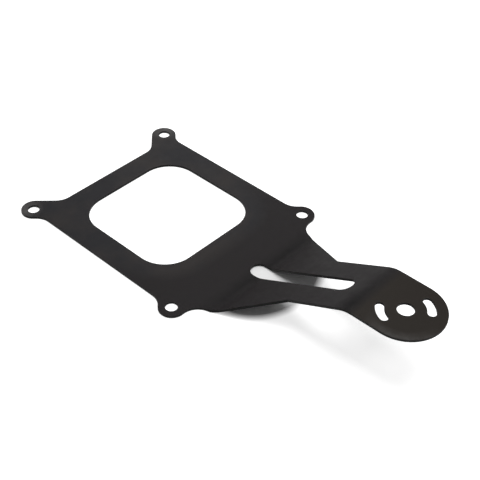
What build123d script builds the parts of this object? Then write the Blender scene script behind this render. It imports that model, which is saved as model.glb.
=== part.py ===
"""Solenoid mounting bracket, one folded sheet of steel.

The base plate is clamped under a four-barrel carburettor on its four flange studs.
Its arm is folded up and then level again, and ends in a round pad that carries a
kickdown or idle solenoid. A slot down the middle of the arm crosses the first fold.

Millimetres. The origin is the middle of the four stud holes on the underside of the
base plate. X runs along the arm to the pad, Z is up.
"""
import os
from math import cos, radians, sin, sqrt, tan

from build123d import *

# Sheet and folds
sheet = 1.9                  # 14 gauge steel
bend_radius = 18.0           # inside radius of both folds
bend_angle = 27.0            # slope of the arm above the base plate, degrees
rise = 42.1                  # underside of the pad above the underside of the base

# Base plate
stud_spacing_x = 142.9       # square-bore flange, 5 5/8 inch
stud_spacing_y = 131.0       # square-bore flange, 5 5/32 inch
stud_hole = 8.5              # diameter, clears the flange stud
ear_radius = 9.4             # round of each ear
ear_inset = 0.5              # the rounds' centres lie this far inside the stud holes, across the arm
plate_width = 132.6          # across the two long edges
rear_edge = 64.0             # from the stud centre to the edge away from the arm
opening_length = 92.0        # along the arm
opening_width = 93.8
opening_radius = 22.7        # corners of the opening
ear_fillet = 12.7            # hollow corners beside the ears

# Arm, measured along it from the line of the front stud holes
fold_reach = 18.15           # to the start of the first fold
root_width = 101.6           # least width of the sheet, between the hollows beside the front ears
arm_width = 50.0             # width from the end of the taper to the pad
taper_length = 40.8          # up the slope, from the first fold to the narrow width
taper_angle = 28.5           # of each side of the taper to the arm's line, degrees
neck_fillet = 4.0            # hollow corners at the end of the taper

# Slot along the middle of the arm
slot_width = 12.7
slot_reach = 11.55           # from the front stud holes to the slot's end in the base plate
slot_climb = 74.0            # from the first fold up the slope to the slot's other end

# Solenoid pad
pad_reach = 131.15           # from the front stud holes to the solenoid's axis
pad_hole = 10.8              # diameter of the middle hole
arc_pitch_radius = 15.3      # of the two curved screw slots
arc_width = 5.5
arc_start = 32.0             # first end of one curved slot, degrees from the arm's line
arc_sweep = 37.7             # between the centres of its two round ends

# Places that follow from those sizes
slope = radians(bend_angle)
stud_x, stud_y = stud_spacing_x / 2, stud_spacing_y / 2
fold_x, slot_start, pad_x = stud_x + fold_reach, stud_x + slot_reach, stud_x + pad_reach
ear_y = stud_y - ear_inset
hollow_y = root_width / 2 + ear_fillet
hollow_x = stud_x + sqrt((ear_radius + ear_fillet) ** 2 - (hollow_y - ear_y) ** 2)
middle_radius = bend_radius + sheet / 2
web_length = (rise - 2 * middle_radius * (1 - cos(slope))) / sin(slope)
slot_radius = slot_width / 2
taper_slope = tan(radians(taper_angle))
foot_half = arm_width / 2 + taper_length * taper_slope
fold_back = (bend_radius + sheet) * sin(slope)

web_foot = Vector(fold_x + (bend_radius + sheet) * sin(slope), 0, (bend_radius + sheet) * (1 - cos(slope)))
web_plane = Plane(web_foot, x_dir=(cos(slope), 0, sin(slope)), z_dir=(-sin(slope), 0, cos(slope)))
web_end_plane = Plane(web_plane.from_local_coords(Vector(web_length, 0, 0)), x_dir=(0, 1, 0), z_dir=web_plane.x_dir)
fold_2_centre = web_plane.from_local_coords(Vector(web_length, 0, -bend_radius))

with BuildPart() as solenoid_bracket:
    # First fold, up, as two strips beside the slot, with the ends of the hollows beside the front ears
    with BuildSketch(Plane.YZ.offset(fold_x)):
        Rectangle(2 * hollow_y, sheet, align=(Align.CENTER, Align.MIN))
        Rectangle(slot_width, sheet, align=(Align.CENTER, Align.MIN), mode=Mode.SUBTRACT)
    revolve(axis=Axis((fold_x, 0, sheet + bend_radius), (0, -1, 0)), revolution_arc=bend_angle)
    with BuildSketch():
        with Locations((hollow_x, hollow_y), (hollow_x, -hollow_y)):
            Circle(ear_fillet)
    extrude(amount=bend_radius, mode=Mode.SUBTRACT)

    # Base plate: its outline, with an ear at 45 degrees on each corner, then its holes
    with BuildSketch() as base:
        with Locations((-rear_edge, 0)):
            Rectangle(rear_edge + stud_x, plate_width, align=(Align.MIN, Align.CENTER))
        Rectangle(hollow_x + ear_fillet, root_width, align=(Align.MIN, Align.CENTER))
        for along in (1, -1):
            for across in (1, -1):
                ear = Vector(along * stud_x, across * ear_y)
                inward = Vector(along, across) * 2 * ear_radius
                SlotCenterPoint(ear - inward, ear, 2 * ear_radius)
        # Out and back again by the same amount rounds the hollow corners and leaves the rest
        offset(amount=ear_fillet, kind=Kind.INTERSECTION)
        offset(amount=-ear_fillet)
        with Locations((fold_x, 0)):
            Rectangle(2 * ear_fillet, 2 * ear_y, align=(Align.MIN, Align.CENTER), mode=Mode.SUBTRACT)
        RectangleRounded(opening_length, opening_width, opening_radius, mode=Mode.SUBTRACT)
        with GridLocations(stud_spacing_x, stud_spacing_y, 2, 2):
            Circle(stud_hole / 2, mode=Mode.SUBTRACT)
        with Locations((slot_start + slot_radius, 0)):
            Circle(slot_radius, mode=Mode.SUBTRACT)
            Rectangle(fold_x - slot_start, slot_width, align=(Align.MIN, Align.CENTER), mode=Mode.SUBTRACT)
    extrude(amount=sheet)

    # The taper is cut square to the slope and runs down through the fold into the hollows
    with BuildSketch(web_plane):
        with BuildLine():
            Polyline(
                (-fold_back, foot_half + fold_back * taper_slope),
                (-fold_back, hollow_y),
                (taper_length, hollow_y),
                (taper_length, arm_width / 2),
                close=True,
            )
        make_face()
        mirror(about=Plane.XZ)
    extrude(amount=bend_radius, both=True, mode=Mode.SUBTRACT)

    # Sloping web, which tapers to the arm's width
    with BuildSketch(web_plane) as web:
        with BuildLine():
            Polyline(
                (0, foot_half),
                (taper_length, arm_width / 2),
                (web_length, arm_width / 2),
                (web_length, -arm_width / 2),
                (taper_length, -arm_width / 2),
                (0, -foot_half),
                close=True,
            )
        make_face()
        for side in (1, -1):
            fillet(web.vertices().sort_by_distance((taper_length, side * arm_width / 2))[0], neck_fillet)
        with Locations((slot_climb - slot_radius, 0)):
            Circle(slot_radius, mode=Mode.SUBTRACT)
            Rectangle(slot_climb - slot_radius, slot_width, align=(Align.MAX, Align.CENTER), mode=Mode.SUBTRACT)
    extrude(amount=sheet)

    # Second fold, back to level
    with BuildSketch(web_end_plane):
        Rectangle(arm_width, sheet, align=(Align.CENTER, Align.MIN))
    revolve(axis=Axis(fold_2_centre, (0, 1, 0)), revolution_arc=bend_angle)

    # Round pad with its middle hole and two curved slots
    with BuildSketch(Plane.XY.offset(rise)):
        with Locations((pad_x, 0)):
            Circle(arm_width / 2)
            Rectangle(pad_x - fold_2_centre.X, arm_width, align=(Align.MAX, Align.CENTER))
            Circle(pad_hole / 2, mode=Mode.SUBTRACT)
            with PolarLocations(0, 2):
                SlotArc(CenterArc((0, 0), arc_pitch_radius, arc_start, arc_sweep), arc_width, mode=Mode.SUBTRACT)
    extrude(amount=sheet)

solenoid_bracket.part.label = "solenoid_bracket"

os.makedirs("parts", exist_ok=True)
export_step(solenoid_bracket.part, "parts/solenoid_bracket.step")
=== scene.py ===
"""The solenoid bracket, dressed and lit: eased edges on the folded sheet and a satin black coating.

Metres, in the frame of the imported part: the origin is the middle of the four stud holes on the
underside of the base plate, X runs along the arm to the pad and Z is up.
"""

import math

import bmesh
import bpy
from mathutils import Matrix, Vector


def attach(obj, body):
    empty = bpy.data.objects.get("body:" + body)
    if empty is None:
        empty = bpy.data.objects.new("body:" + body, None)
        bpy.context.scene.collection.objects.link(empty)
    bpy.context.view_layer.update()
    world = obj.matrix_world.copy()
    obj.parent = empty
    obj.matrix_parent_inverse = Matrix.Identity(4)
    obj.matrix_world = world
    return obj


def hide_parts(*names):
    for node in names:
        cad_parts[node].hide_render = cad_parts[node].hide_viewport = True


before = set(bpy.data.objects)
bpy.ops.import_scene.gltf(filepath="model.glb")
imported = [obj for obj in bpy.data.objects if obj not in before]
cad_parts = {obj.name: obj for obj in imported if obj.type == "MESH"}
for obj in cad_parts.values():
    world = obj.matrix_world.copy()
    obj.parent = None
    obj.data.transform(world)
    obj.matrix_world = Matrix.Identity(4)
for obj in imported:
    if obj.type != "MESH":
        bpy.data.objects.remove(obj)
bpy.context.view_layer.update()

MM = 0.001

# The sheet and its edges
merge_reach = 0.001 * MM            # points nearer than this are one point
edge_round = 0.28 * MM              # rounding left on every cut edge by deburring and coating
edge_segments = 3
cut_edge_angle = math.radians(35)   # an edge sharper than this is a cut edge, not a facet of a round
flat_angle = math.radians(0.3)      # faces within this angle are one flat face
flat_face_weight = 100              # the large flat faces alone set the shading beside a rounding
slope = math.radians(27.0)          # of the arm
slope_normal = Vector((-math.sin(slope), 0.0, math.cos(slope)))
wall_limit = 0.5                    # a cut wall's normal has less than this along the plate's or arm's
edge_mark = "cut_edge"              # names of the two masks that the coating reads from the mesh
wall_mark = "cut_face"

# The second fold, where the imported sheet's pad runs back over it
fold_centre = Vector((181.325, 0.0, 24.1)) * MM
fold_outer = 19.9 * MM              # radius of the sheet's top side
round_back = 177.5 * MM             # just behind the pad's round
arm_half = 25.0 * MM                # half of the arm's width
wall_reach = 0.1 * MM               # a face nearer than this to a side of the arm is its cut wall
sheet_middle = 43.2 * MM            # height between the sheet's two sides here
fold_strips = 5
cut_reach = 0.3 * MM                # a point this near a cut counts as on it

# The coating, linear colours
coat_cool = (0.0100, 0.0094, 0.0118)
coat_warm = (0.0200, 0.0164, 0.0158)
arm_shade_colour = (0.0062, 0.0038, 0.0045)
pad_painted_light = (0.0135, 0.0093, 0.0058)
fold_shade_colour = (0.0016, 0.0011, 0.0014)
cut_wall_shade = (0.0012, 0.0010, 0.0010)
rub_and_highlight_colour = (0.095, 0.091, 0.089)
coat_roughness = (0.41, 0.50)
coat_dulled = 0.28                  # rougher by this much where the folds were pressed
coat_gloss = 0.20                   # specular level

# Its patterns: features per metre, detail and roughness of the noise
cloud_pattern = (26.0, 4.0, 0.55)
scuff_pattern = (160.0, 6.0, 0.65)
peel_pattern = (900.0, 2.0, 0.55)
peel_strength = 0.25
peel_height = 0.03 * MM

# Levels of the noise between which a pattern takes hold
cloud_levels = (0.40, 0.60)
gloss_levels = (0.30, 0.70)
patch_levels = (0.35, 0.65)
worn_levels = (0.45, 0.65)

# How far the paler colour, part rubbed wear and part painted highlight, covers the coating
ear_rub_and_sheen_cover = 0.9
rim_highlight_cover = 0.45
patch_cover = (0.45, 1.0)           # of the cover on the ears and the rim, which the scuffs break up
edge_wear_and_highlight_cover = (0.05, 0.45)

# Where its painted shade, painted light and wear change, in the frame of the part
opening_half = Vector((46.0, 46.9, 0.0)) * MM
opening_corner = 22.7 * MM
opening_lit_band = (5.0 * MM, 17.0 * MM)              # from the opening, where the painted shade fades in
arm_shade_span = (0.0 * MM, 45.0 * MM)                # and the painted shade darkens between these places towards the arm
rear_ear_tip = Vector((-75.5, 69.5, 0.0)) * MM
ear_rub_and_sheen = (4.0 * MM, 13.0 * MM)               # palest inside the first radius
pad_centre = Vector((202.6, 0.0, 0.0)) * MM
pad_rim = (18.5 * MM, 23.5 * MM)                 # painted highlight outside these radii
rim_along = (188.0 * MM, 204.0 * MM)             # towards the arm's end
rim_across = (0.0, -18.0 * MM)                   # and towards the near side

# The bands of painted shade at the folds: start, middle and end along the arm
first_fold = (82.0 * MM, 91.5 * MM, 98.0 * MM)
second_fold = (167.0 * MM, 177.0 * MM, 184.0 * MM)
first_fold_shade = (0.7, 1.0)          # cover at its darkest, and the share of it on the arm's far side
second_fold_shade = (1.0, 0.4)
cloudy_share = 0.6                  # of a band's cover, where the clouds are warm

# The photograph's camera
photo_size = 480
camera_azimuth = math.radians(44.27)
camera_elevation = math.radians(41.02)
camera_distance = 697.4 * MM
camera_target = Vector((40.6, -1.1, 0.0)) * MM
focal_pixels = 996.0
photo_centre_shift_pixels = 33.3    # the frame is cropped off to the right of the lens axis
sensor_width = 36.0
near_clip = 0.01                    # metres
far_clip = 20.0

# The floor and the sky
white = (1.0, 1.0, 1.0, 1.0)
floor_white = 0.92
floor_drop = Vector((0.0, 0.0, -0.15)) * MM      # just clear of the plate's underside
floor_half = 8.0                                 # metres
glow_far = 0.67                                  # the floor's own glow, away from the first fold
shade_centre = Vector((92.0, 0.0, 0.0)) * MM     # of the oval where the contact shadow stays
shade_reach = Vector((35.5, 44.0, 1000.0)) * MM
shade_fade = (0.95, 1.12)                        # ovals where the glow starts and where it is full
horizon_fade = (0.10, 0.35)                      # sine of the elevation
horizon_level = 0.35
sky_level = 0.20

# The lamps: place, width and height in metres, and watts
lamp_aim = Vector((0.06, 0.0, 0.0))
overhead_box = (Vector((0.05, 0.15, 1.10)), 1.0, 0.8, 9.5)
back_box = (Vector((-0.68, 0.76, 0.56)), 0.9, 0.35, 1.6)


# Node helpers

def node(tree, kind, **values):
    """A node of that kind. Keys that name an input set its socket, the rest set the node."""
    made = tree.nodes.new(kind)
    for key, value in values.items():
        if key in made.inputs:
            made.inputs[key].default_value = value
        else:
            setattr(made, key, value)
    return made


def feed(tree, socket, value):
    """Links the socket to another one, or gives it a plain value."""
    if isinstance(value, bpy.types.NodeSocket):
        tree.links.new(value, socket)
    else:
        socket.default_value = value


def noise(tree, position, scale, detail, roughness):
    """A noise texture over the position, in features per metre."""
    made = node(tree, "ShaderNodeTexNoise", Scale=scale, Detail=detail, Roughness=roughness)
    tree.links.new(position, made.inputs["Vector"])
    return made.outputs["Fac"]


def remap(tree, value, low, high, to_low=0.0, to_high=1.0):
    """The value between low and high, spread over to_low to to_high."""
    made = node(tree, "ShaderNodeMapRange")
    made.inputs["From Min"].default_value = low
    made.inputs["From Max"].default_value = high
    made.inputs["To Min"].default_value = to_low
    made.inputs["To Max"].default_value = to_high
    tree.links.new(value, made.inputs["Value"])
    return made.outputs["Result"]


def number_step(tree, operation, *values):
    """One step of arithmetic. Each value is a socket or a plain number."""
    made = node(tree, "ShaderNodeMath", operation=operation)
    for socket, value in zip(made.inputs, values):
        feed(tree, socket, value)
    return made.outputs["Value"]


def multiply(tree, first, second):
    """The product of two values."""
    return number_step(tree, "MULTIPLY", first, second)


def vector_step(tree, operation, *vectors):
    """One step of vector arithmetic. Each value is a socket or a plain vector."""
    made = node(tree, "ShaderNodeVectorMath", operation=operation)
    for socket, value in zip(made.inputs, vectors):
        feed(tree, socket, value)
    return made.outputs["Value" if operation in ("LENGTH", "DISTANCE") else "Vector"]


def mix_colour(tree, share, first, second):
    """Two colours mixed by a share. Each is a socket or a plain colour."""
    made = node(tree, "ShaderNodeMix", data_type="RGBA")
    tree.links.new(share, made.inputs["Factor"])
    colour_sockets = [socket for socket in made.inputs if socket.type == "RGBA"]
    for socket, colour in zip(colour_sockets, (first, second)):
        feed(tree, socket, (*colour, 1.0) if isinstance(colour, tuple) else colour)
    return next(socket for socket in made.outputs if socket.type == "RGBA")


def across_fold(tree, along, fold):
    """1 in the middle of a fold and 0 at its two ends."""
    start, middle, end = fold
    return multiply(tree, remap(tree, along, start, middle), remap(tree, along, end, middle))


def from_opening(tree, plan):
    """Distance in plan from the edge of the opening with its round corners."""
    inner = opening_half - Vector((opening_corner, opening_corner, 0.0))
    beyond = vector_step(tree, "SUBTRACT", vector_step(tree, "ABSOLUTE", plan), inner)
    beyond = vector_step(tree, "MAXIMUM", beyond, (0.0, 0.0, 0.0))
    return number_step(tree, "SUBTRACT", vector_step(tree, "LENGTH", beyond), opening_corner)


def rub_and_sheen_on_rear_ears(tree, plan, along):
    """How far the two rear ears, which mirror each other, are paler: partly rubbed wear, partly painted
    reflection.
    """
    tip = vector_step(tree, "MULTIPLY", vector_step(tree, "ABSOLUTE", plan), (-1.0, 1.0, 0.0))
    tip = remap(tree, vector_step(tree, "DISTANCE", tip, rear_ear_tip), *ear_rub_and_sheen, ear_rub_and_sheen_cover, 0.0)
    return multiply(tree, tip, remap(tree, along, 0.0, rear_ear_tip.x))


def highlight_on_low_rim(tree, plan, along, across):
    """How far the low side of the pad's rim carries a painted highlight."""
    rim = remap(tree, vector_step(tree, "DISTANCE", plan, pad_centre), *pad_rim, 0.0, rim_highlight_cover)
    low_side = multiply(tree, remap(tree, along, *rim_along), remap(tree, across, *rim_across))
    return multiply(tree, rim, low_side)


def black_coating():
    """Satin black powder coat: clouds and orange peel, painted shade darker towards the arm and in
    bands at the folds, darker painted shade on the cut walls, paler warmer painted light on the pad, a
    painted highlight on the pad's low rim, and paler rear ears and edges that are part rubbed wear and
    part painted highlight."""
    material = bpy.data.materials.new("satin_black_coating")
    material.use_nodes = True
    tree = material.node_tree
    shader = tree.nodes["Principled BSDF"]
    shader.inputs["Specular IOR Level"].default_value = coat_gloss
    position = node(tree, "ShaderNodeTexCoord").outputs["Object"]
    plan = vector_step(tree, "MULTIPLY", position, (1.0, 1.0, 0.0))
    axes = node(tree, "ShaderNodeSeparateXYZ")
    tree.links.new(position, axes.inputs["Vector"])
    along, across = axes.outputs["X"], axes.outputs["Y"]

    clouds = noise(tree, position, *cloud_pattern)
    scuffs = noise(tree, position, *scuff_pattern)
    patchy = remap(tree, scuffs, *patch_levels, *patch_cover)

    colour = mix_colour(tree, remap(tree, clouds, *cloud_levels), coat_cool, coat_warm)
    # Painted shade: darker towards the arm, clear of a band round the opening.
    clear_of_opening = remap(tree, from_opening(tree, plan), *opening_lit_band)
    arm_shade = multiply(tree, remap(tree, along, *arm_shade_span), clear_of_opening)
    colour = mix_colour(tree, arm_shade, colour, arm_shade_colour)

    # Paler rear ears: partly rubbed wear, partly painted reflection.
    rub_and_highlight = multiply(tree, rub_and_sheen_on_rear_ears(tree, plan, along), patchy)
    colour = mix_colour(tree, rub_and_highlight, colour, rub_and_highlight_colour)
    # Painted light: the pad paler and warmer from the second fold's middle on.
    fold_middle, fold_end = second_fold[1:]
    colour = mix_colour(tree, remap(tree, along, fold_middle, fold_end), colour, pad_painted_light)
    # Painted highlight on the low side of the pad's rim.
    rub_and_highlight = multiply(tree, highlight_on_low_rim(tree, plan, along, across), patchy)
    colour = mix_colour(tree, rub_and_highlight, colour, rub_and_highlight_colour)

    roughness = remap(tree, scuffs, *gloss_levels, *coat_roughness)
    # Painted shade in bands at the two folds, darker on the arm's near side; the same bands are also
    # rougher.
    for fold, (cover, far_share) in ((first_fold, first_fold_shade), (second_fold, second_fold_shade)):
        near_side = remap(tree, across, arm_half, -arm_half, far_share, 1.0)
        cloudy = remap(tree, clouds, *cloud_levels, cover, cloudy_share * cover)
        pressed_and_shaded = multiply(tree, across_fold(tree, along, fold), multiply(tree, near_side, cloudy))
        colour = mix_colour(tree, pressed_and_shaded, colour, fold_shade_colour)
        roughness = number_step(tree, "MULTIPLY_ADD", pressed_and_shaded, coat_dulled, roughness)
    tree.links.new(roughness, shader.inputs["Roughness"])

    # Painted shade: the cut walls darker.
    on_wall = node(tree, "ShaderNodeAttribute", attribute_name=wall_mark).outputs["Fac"]
    colour = mix_colour(tree, on_wall, colour, cut_wall_shade)
    # Paler edges: partly rubbed wear, partly painted highlight.
    on_edge = node(tree, "ShaderNodeAttribute", attribute_name=edge_mark).outputs["Fac"]
    rub_and_highlight = multiply(tree, on_edge, remap(tree, scuffs, *worn_levels, *edge_wear_and_highlight_cover))
    colour = mix_colour(tree, rub_and_highlight, colour, rub_and_highlight_colour)
    tree.links.new(colour, shader.inputs["Base Color"])

    bump = node(tree, "ShaderNodeBump", Strength=peel_strength, Distance=peel_height)
    tree.links.new(noise(tree, position, *peel_pattern), bump.inputs["Height"])
    tree.links.new(bump.outputs["Normal"], shader.inputs["Normal"])
    return material


# The folded sheet

def add_object(name, data):
    """An object of that data, linked into the scene."""
    made = bpy.data.objects.new(name, data)
    bpy.context.scene.collection.objects.link(made)
    return made


def is_cut_wall(face):
    """True on the sheet's cut walls, which stand square to the plate or to the arm's slope."""
    side = max(abs(face.normal.z), abs(face.normal.dot(slope_normal)))
    return side < wall_limit


def cut_across(shell, along):
    """Cuts every face of the shell on the plane at that place along the arm."""
    whole = shell.verts[:] + shell.edges[:] + shell.faces[:]
    place = (along, 0.0, 0.0)
    bmesh.ops.bisect_plane(shell, geom=whole, dist=cut_reach, plane_co=place, plane_no=(1.0, 0.0, 0.0))


def carry_fold_through(shell):
    """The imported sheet's pad stands up to 0.35 mm proud on the second fold, in a crescent. This takes
    the crescent off and carries the fold's own curve through to the pad."""
    cut_across(shell, round_back)
    cut_across(shell, fold_centre.x)
    topside = []
    for face in shell.faces:
        middle = face.calc_center_median()
        between_walls = abs(middle.y) < arm_half - wall_reach
        if round_back < middle.x < fold_centre.x and between_walls and middle.z > sheet_middle:
            topside.append(face)
    bmesh.ops.delete(shell, geom=topside, context="FACES")
    bare = [edge for edge in shell.edges if edge.is_boundary]
    filled = bmesh.ops.holes_fill(shell, edges=bare, sides=0)
    for face in filled["faces"]:
        face.normal_update()
        if face.normal.z < 0.0:
            face.normal_flip()

    reach = fold_centre.x - round_back
    for strip in range(1, fold_strips):
        cut_across(shell, round_back + reach * strip / fold_strips)
    for vertex in shell.verts:
        back = fold_centre.x - vertex.co.x
        if -cut_reach < back < reach + cut_reach and vertex.co.z > sheet_middle:
            vertex.co.z = fold_centre.z + math.sqrt(fold_outer ** 2 - back ** 2)


def round_cut_edges(shell):
    """Rounds every cut edge, and marks the roundings and the cut walls for the coating."""
    cut_edges = []
    for edge in shell.edges:
        if len(edge.link_faces) == 2 and edge.calc_face_angle() > cut_edge_angle:
            cut_edges.append(edge)
    bevelled = bmesh.ops.bevel(
        shell, geom=cut_edges, offset=edge_round, offset_type="OFFSET", affect="EDGES",
        segments=edge_segments, profile=0.5, material=-1, clamp_overlap=False,
    )
    rounded = set(bevelled["faces"])
    edge_layer = shell.verts.layers.float.new(edge_mark)
    wall_layer = shell.verts.layers.float.new(wall_mark)
    for vertex in shell.verts:
        flat = [face for face in vertex.link_faces if face not in rounded]
        vertex[edge_layer] = 0.0 if flat else 1.0
        vertex[wall_layer] = 1.0 if flat and all(is_cut_wall(face) for face in flat) else 0.0


def folded_sheet(cad_node, name):
    """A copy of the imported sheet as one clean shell, with every cut edge rounded."""
    shell = bmesh.new()
    shell.from_mesh(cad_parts[cad_node].data)
    bmesh.ops.remove_doubles(shell, verts=shell.verts, dist=merge_reach)
    carry_fold_through(shell)
    bmesh.ops.dissolve_limit(shell, angle_limit=flat_angle, verts=shell.verts, edges=shell.edges)
    round_cut_edges(shell)
    for face in shell.faces:
        face.smooth = True
    mesh = bpy.data.meshes.new(name)
    shell.to_mesh(mesh)
    shell.free()

    sheet = add_object(name, mesh)
    normals = sheet.modifiers.new("flat_faces_stay_flat", "WEIGHTED_NORMAL")
    normals.keep_sharp = True
    normals.weight = flat_face_weight
    return sheet


bracket = folded_sheet("solenoid_bracket", "folded_bracket")
bracket.data.materials.append(black_coating())
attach(bracket, "root")
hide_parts("solenoid_bracket")


# Floor, lights and camera

def floor_finish():
    """White paint. Its own glow, for the camera, fades out round the first fold, where the contact
    shadow stays, and in the coating's gloss the floor is plain white."""
    material = bpy.data.materials.new("pale_floor")
    material.use_nodes = True
    tree = material.node_tree
    tree.nodes.clear()
    position = node(tree, "ShaderNodeTexCoord").outputs["Object"]
    rays = node(tree, "ShaderNodeLightPath").outputs

    from_shade = vector_step(tree, "SUBTRACT", position, shade_centre)
    ovals = vector_step(tree, "LENGTH", vector_step(tree, "DIVIDE", from_shade, shade_reach))
    seen_glow = multiply(tree, remap(tree, ovals, *shade_fade, 0.0, glow_far), rays["Is Camera Ray"])
    in_gloss = number_step(tree, "MAXIMUM", rays["Is Glossy Ray"], rays["Is Transmission Ray"])
    gloss_glow = multiply(tree, in_gloss, 1.0 - floor_white)

    lit = node(tree, "ShaderNodeBsdfDiffuse", Color=(floor_white, floor_white, floor_white, 1.0))
    glow = node(tree, "ShaderNodeEmission", Color=white)
    tree.links.new(number_step(tree, "ADD", seen_glow, gloss_glow), glow.inputs["Strength"])
    both = node(tree, "ShaderNodeAddShader")
    tree.links.new(lit.outputs["BSDF"], both.inputs[0])
    tree.links.new(glow.outputs["Emission"], both.inputs[1])
    out = node(tree, "ShaderNodeOutputMaterial")
    tree.links.new(both.outputs["Shader"], out.inputs["Surface"])
    return material


def pale_floor():
    """A wide white floor just under the bracket."""
    shape = bmesh.new()
    bmesh.ops.create_grid(shape, x_segments=1, y_segments=1, size=floor_half)
    bmesh.ops.translate(shape, vec=floor_drop, verts=shape.verts)
    mesh = bpy.data.meshes.new("pale_floor")
    shape.to_mesh(mesh)
    shape.free()
    floor = add_object("pale_floor", mesh)
    floor.data.materials.append(floor_finish())


def stand_facing(holder, place, direction):
    """Puts a lamp or the camera at a place, looking along a direction."""
    holder.location = place
    holder.rotation_mode = "QUATERNION"
    holder.rotation_quaternion = direction.to_track_quat("-Z", "Y")


def soft_box(name, place, width, height, power):
    """A rectangular studio lamp that looks at the bracket."""
    lamp = bpy.data.lights.new(name, "AREA")
    lamp.shape = "RECTANGLE"
    lamp.size, lamp.size_y, lamp.energy = width, height, power
    stand_facing(add_object(name, lamp), place, lamp_aim - place)


def studio_world():
    """Pale at the horizon and dimmer above it, all round."""
    world = bpy.data.worlds.new("studio")
    world.use_nodes = True
    tree = world.node_tree
    background = tree.nodes["Background"]
    background.inputs["Color"].default_value = white
    axes = node(tree, "ShaderNodeSeparateXYZ")
    tree.links.new(node(tree, "ShaderNodeTexCoord").outputs["Generated"], axes.inputs["Vector"])
    level = remap(tree, axes.outputs["Z"], *horizon_fade, horizon_level, sky_level)
    tree.links.new(level, background.inputs["Strength"])
    bpy.context.scene.world = world


def photo_camera():
    """The camera that the photograph was solved for."""
    camera = bpy.data.cameras.new("photo_camera")
    camera.sensor_width = sensor_width
    camera.lens = focal_pixels / photo_size * sensor_width
    camera.shift_x = photo_centre_shift_pixels / photo_size
    camera.clip_start, camera.clip_end = near_clip, far_clip
    back = Vector((
        math.sin(camera_azimuth) * math.cos(camera_elevation),
        -math.cos(camera_azimuth) * math.cos(camera_elevation),
        math.sin(camera_elevation),
    ))
    holder = add_object("photo_camera", camera)
    stand_facing(holder, camera_target + back * camera_distance, -back)
    bpy.context.scene.camera = holder


pale_floor()
studio_world()
soft_box("overhead_box", *overhead_box)
soft_box("back_box", *back_box)
photo_camera()
bpy.context.scene.view_settings.view_transform = "Standard"
